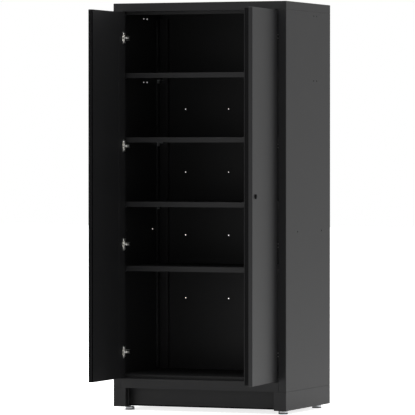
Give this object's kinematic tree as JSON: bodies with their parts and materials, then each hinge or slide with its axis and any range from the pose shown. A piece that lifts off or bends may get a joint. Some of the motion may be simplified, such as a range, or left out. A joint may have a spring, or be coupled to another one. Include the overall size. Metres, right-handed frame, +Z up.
{
  "type": "workshop cabinet",
  "caption": "Tall black sheet-steel workshop cabinet with hinged double doors, shelves, key lock, recessed plinth and levelling feet.",
  "frame": {"origin": "on the floor under the middle of the body, midway between the sides and between front and back", "axes": "+Z up, +X to the cabinet's right as seen from the front, -Y out of the front"},
  "size_m": [0.92, 1.0391, 2.02],
  "materials": {
    "black_powder_coat": "satin black powder coat with a fine texture",
    "nickel_plate": "nickel plated, satin",
    "zinc_steel": "bright zinc plated",
    "dark_lock_metal": "black plated die casting",
    "black_nylon": "moulded black nylon"
  },
  "bodies": {
    "cabinet": {"left_side_panel": "black_powder_coat", "right_side_panel": "black_powder_coat", "back_panel": "black_powder_coat", "top_cap": "black_powder_coat", "header_rail": "black_powder_coat", "bottom_rail": "black_powder_coat", "floor_panel": "black_powder_coat", "left_rear_post": "black_powder_coat", "right_rear_post": "black_powder_coat", "left_front_standard": "black_powder_coat", "left_rear_standard": "black_powder_coat", "right_front_standard": "black_powder_coat", "right_rear_standard": "black_powder_coat", "shelf_1": "black_powder_coat", "shelf_2": "black_powder_coat", "shelf_3": "black_powder_coat", "shelf_4": "black_powder_coat", "plinth_left_side": "black_powder_coat", "plinth_right_side": "black_powder_coat", "kickplate": "black_powder_coat", "plinth_back_rail": "black_powder_coat", "foot_brackets": "black_powder_coat", "shelf_clips": "zinc_steel", "foot_nuts": "zinc_steel", "left_hinge_plates": "nickel_plate", "left_hinge_arms": "nickel_plate", "right_hinge_plates": "nickel_plate", "right_hinge_arms": "nickel_plate"},
    "left_door": {"left_door_skin": "black_powder_coat", "left_door_liner": "black_powder_coat", "left_overlap_strip": "black_powder_coat", "left_hinge_cups": "nickel_plate", "left_hinge_links": "nickel_plate"},
    "right_door": {"right_door_skin": "black_powder_coat", "right_door_liner": "black_powder_coat", "right_lock_channel": "black_powder_coat", "right_hinge_cups": "nickel_plate", "right_hinge_links": "nickel_plate", "lock_housing": "dark_lock_metal", "rod_guides": "black_nylon"},
    "lock": {"lock_cylinder": "dark_lock_metal", "lock_cam": "zinc_steel"},
    "upper_rod": {"upper_rod": "zinc_steel"},
    "lower_rod": {"lower_rod": "zinc_steel"},
    "front_left_foot": {"front_left_foot_pad": "black_nylon", "front_left_foot_stem": "zinc_steel"},
    "front_right_foot": {"front_right_foot_pad": "black_nylon", "front_right_foot_stem": "zinc_steel"},
    "rear_left_foot": {"rear_left_foot_pad": "black_nylon", "rear_left_foot_stem": "zinc_steel"},
    "rear_right_foot": {"rear_right_foot_pad": "black_nylon", "rear_right_foot_stem": "zinc_steel"}
  },
  "joints": [
    {"name": "left_door_swing", "type": "hinge", "parent": "cabinet", "child": "left_door", "pos_m": [-0.416, -0.305, 1.07], "axis": [0, 0, 1], "range_deg": [-20, 89]},
    {"name": "right_door_swing", "type": "hinge", "parent": "cabinet", "child": "right_door", "pos_m": [0.416, -0.305, 1.07], "axis": [0, 0, 1], "range_deg": [-94.5, 15.5]},
    {"name": "lock_turn", "type": "hinge", "parent": "right_door", "child": "lock", "pos_m": [0.44468, -0.66937, 1.071], "axis": [0.9969, 0.0785, 0], "range_deg": [0, 90]},
    {"name": "upper_rod_slide", "type": "slide", "parent": "right_door", "child": "upper_rod", "axis": [0, 0, 1], "range_m": [0, 0.014]},
    {"name": "lower_rod_slide", "type": "slide", "parent": "right_door", "child": "lower_rod", "axis": [0, 0, -1], "range_m": [0, 0.014]},
    {"name": "front_left_foot_screw", "type": "slide", "parent": "cabinet", "child": "front_left_foot", "axis": [0, 0, 1], "range_m": [-0.02, 0.01]},
    {"name": "front_right_foot_screw", "type": "slide", "parent": "cabinet", "child": "front_right_foot", "axis": [0, 0, 1], "range_m": [-0.02, 0.01]},
    {"name": "rear_left_foot_screw", "type": "slide", "parent": "cabinet", "child": "rear_left_foot", "axis": [0, 0, 1], "range_m": [-0.02, 0.01]},
    {"name": "rear_right_foot_screw", "type": "slide", "parent": "cabinet", "child": "rear_right_foot", "axis": [0, 0, 1], "range_m": [-0.02, 0.01]}
  ],
  "couplings": [
    {"joint": "lower_rod_slide", "follows": "upper_rod_slide", "ratio": 1},
    {"joint": "lock_turn", "follows": "upper_rod_slide", "rad_per_m": 112}
  ]
}
